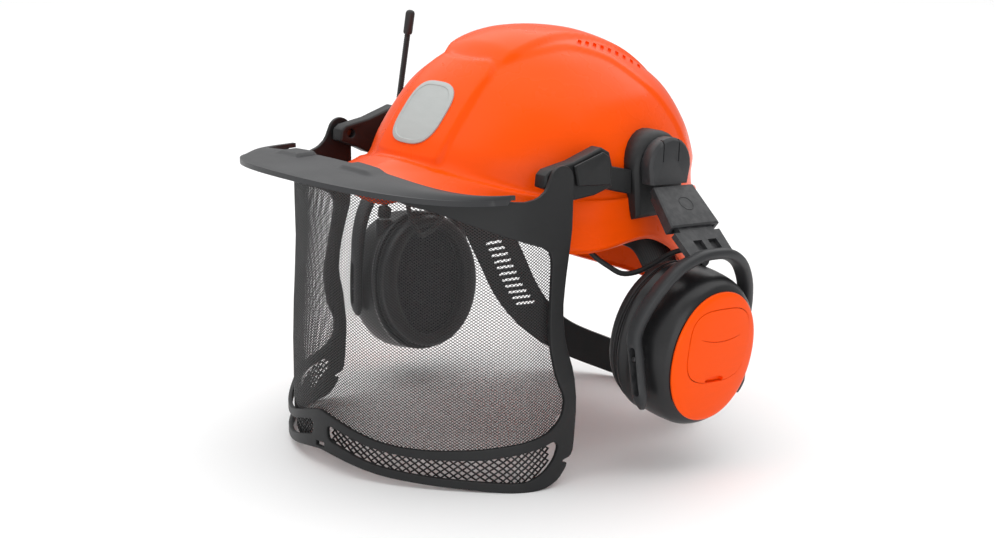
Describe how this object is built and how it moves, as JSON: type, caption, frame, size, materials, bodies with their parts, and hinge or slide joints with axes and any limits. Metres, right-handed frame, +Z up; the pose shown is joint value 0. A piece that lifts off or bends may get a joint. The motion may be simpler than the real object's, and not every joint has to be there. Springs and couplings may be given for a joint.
{
  "type": "forestry helmet",
  "caption": "Hard hat with a wire mesh face visor on a side hinge, a peak, a suspension harness and a pair of ear muffs with built-in radio",
  "frame": {"origin": "middle of the bounding box at floor level, where the helmet stands on its visor and nape band", "axes": "+X is the wearer's left, -Y is the front, +Z is up"},
  "size_m": [0.3612, 0.3318, 0.2812],
  "materials": {
    "shell": "moulded, high gloss orange",
    "badge": "satin silver grey",
    "black_plastic": "fine-grained black",
    "dark_plastic": "satin dark grey",
    "cup_plastic": "smooth satin black",
    "cover": "gloss orange",
    "webbing": "woven black",
    "wire": "black coated wire",
    "steel": "plain",
    "cushion": "soft black artificial leather",
    "foam": "open-cell foam",
    "rubber": "smooth black",
    "board": "green circuit board"
  },
  "bodies": {
    "helmet": {"helmet_shell": "shell", "front_badge": "badge", "headband": "black_plastic", "sweatband": "webbing", "crown_strap_left": "webbing", "crown_strap_right": "webbing", "harness_clip_front_left": "black_plastic", "harness_clip_front_right": "black_plastic", "harness_clip_rear_left": "black_plastic", "harness_clip_rear_right": "black_plastic", "visor_bracket_left": "black_plastic", "bracket_cover_left": "black_plastic", "bracket_link_left": "black_plastic", "muff_mount_left": "black_plastic", "visor_bracket_right": "black_plastic", "bracket_cover_right": "black_plastic", "bracket_link_right": "black_plastic", "muff_mount_right": "black_plastic", "cable_crossing": "rubber"},
    "visor": {"visor_frame": "black_plastic", "visor_mesh": "wire", "chin_grille_left": "black_plastic", "chin_grille_right": "black_plastic", "visor_peak": "dark_plastic", "hinge_pin_left": "steel", "hinge_pin_right": "steel"},
    "nape": {"nape_band": "black_plastic"},
    "cap_left": {"pivot_cap_left": "dark_plastic"},
    "arm_left": {"muff_arm_left": "dark_plastic"},
    "fork_left": {"yoke_left": "dark_plastic"},
    "pins_left": {"cup_pivot_front_left": "steel", "cup_pivot_rear_left": "steel"},
    "cup_left": {"cup_shell_left": "cup_plastic", "cup_cover_left": "cover", "cushion_left": "cushion", "cushion_plate_left": "black_plastic", "liner_foam_left": "foam", "speaker_left": "black_plastic", "cable_left": "rubber", "battery_front": "steel", "battery_rear": "steel"},
    "cap_right": {"pivot_cap_right": "dark_plastic"},
    "arm_right": {"muff_arm_right": "dark_plastic"},
    "fork_right": {"yoke_right": "dark_plastic"},
    "pins_right": {"cup_pivot_front_right": "steel", "cup_pivot_rear_right": "steel"},
    "cup_right": {"cup_shell_right": "cup_plastic", "cup_cover_right": "cover", "cushion_right": "cushion", "cushion_plate_right": "black_plastic", "liner_foam_right": "foam", "speaker_right": "black_plastic", "cable_right": "rubber", "radio_board": "board", "antenna_base": "black_plastic", "antenna": "rubber"},
    "lid": {"battery_lid": "cover"},
    "volume": {"volume_knob": "dark_plastic"},
    "tuning": {"tuning_knob": "dark_plastic"}
  },
  "joints": [
    {"name": "visor_hinge", "type": "hinge", "parent": "helmet", "child": "visor", "pos_m": [0.00046, -0.03573, 0.201], "axis": [-1, 0, 0], "range_deg": [0, 85]},
    {"name": "nape_size", "type": "slide", "parent": "helmet", "child": "nape", "axis": [0, 1, 0], "range_m": [-0.006, 0.004]},
    {"name": "left_muff_turn", "type": "hinge", "parent": "helmet", "child": "cap_left", "pos_m": [0.11846, 0.06007, 0.194], "axis": [1, 0, 0], "range_deg": [-15, 10]},
    {"name": "left_arm_swing", "type": "hinge", "parent": "cap_left", "child": "arm_left", "pos_m": [0.12146, 0.05954, 0.18502], "axis": [0, -0.9982, 0.0593], "range_deg": [-5, 12]},
    {"name": "left_fork_slide", "type": "slide", "parent": "arm_left", "child": "fork_left", "axis": [0.766, -0.0381, -0.6417], "range_m": [-0.0025, 0.01]},
    {"name": "left_cup_height", "type": "slide", "parent": "fork_left", "child": "pins_left", "axis": [0.0797, -0.0591, -0.9951], "range_m": [-0.005, 0.013]},
    {"name": "left_cup_tilt", "type": "hinge", "parent": "pins_left", "child": "cup_left", "pos_m": [0.15196, 0.05331, 0.0802], "axis": [0, 0.9982, -0.0593], "range_deg": [-8, 4]},
    {"name": "right_muff_turn", "type": "hinge", "parent": "helmet", "child": "cap_right", "pos_m": [-0.11754, 0.06007, 0.194], "axis": [1, 0, 0], "range_deg": [-15, 10]},
    {"name": "right_arm_swing", "type": "hinge", "parent": "cap_right", "child": "arm_right", "pos_m": [-0.12054, 0.05925, 0.18504], "axis": [0, 0.9959, -0.0906], "range_deg": [-6, 10]},
    {"name": "right_fork_slide", "type": "slide", "parent": "arm_right", "child": "fork_right", "axis": [-0.766, -0.0583, -0.6401], "range_m": [-0.0025, 0.008]},
    {"name": "right_cup_height", "type": "slide", "parent": "fork_right", "child": "pins_right", "axis": [-0.0797, -0.0903, -0.9927], "range_m": [-0.0025, 0.002]},
    {"name": "right_cup_tilt", "type": "hinge", "parent": "pins_right", "child": "cup_right", "pos_m": [-0.15196, 0.0487, 0.06902], "axis": [0, -0.9959, 0.0906], "range_deg": [-8, 1.5]},
    {"name": "battery_lid_hinge", "type": "hinge", "parent": "cup_left", "child": "lid", "pos_m": [0.18007, 0.05528, 0.11345], "axis": [0, -0.9982, 0.0593], "range_deg": [0, 45]},
    {"name": "volume_turn", "type": "hinge", "parent": "cup_right", "child": "volume", "pos_m": [-0.17266, 0.05837, 0.04291], "axis": [-0.9903, -0.0126, -0.1386], "range_deg": [-135, 135]},
    {"name": "tuning_turn", "type": "hinge", "parent": "cup_right", "child": "tuning", "pos_m": [-0.17266, 0.03447, 0.04508], "axis": [-0.9903, -0.0126, -0.1386], "range_deg": [-135, 135]}
  ]
}
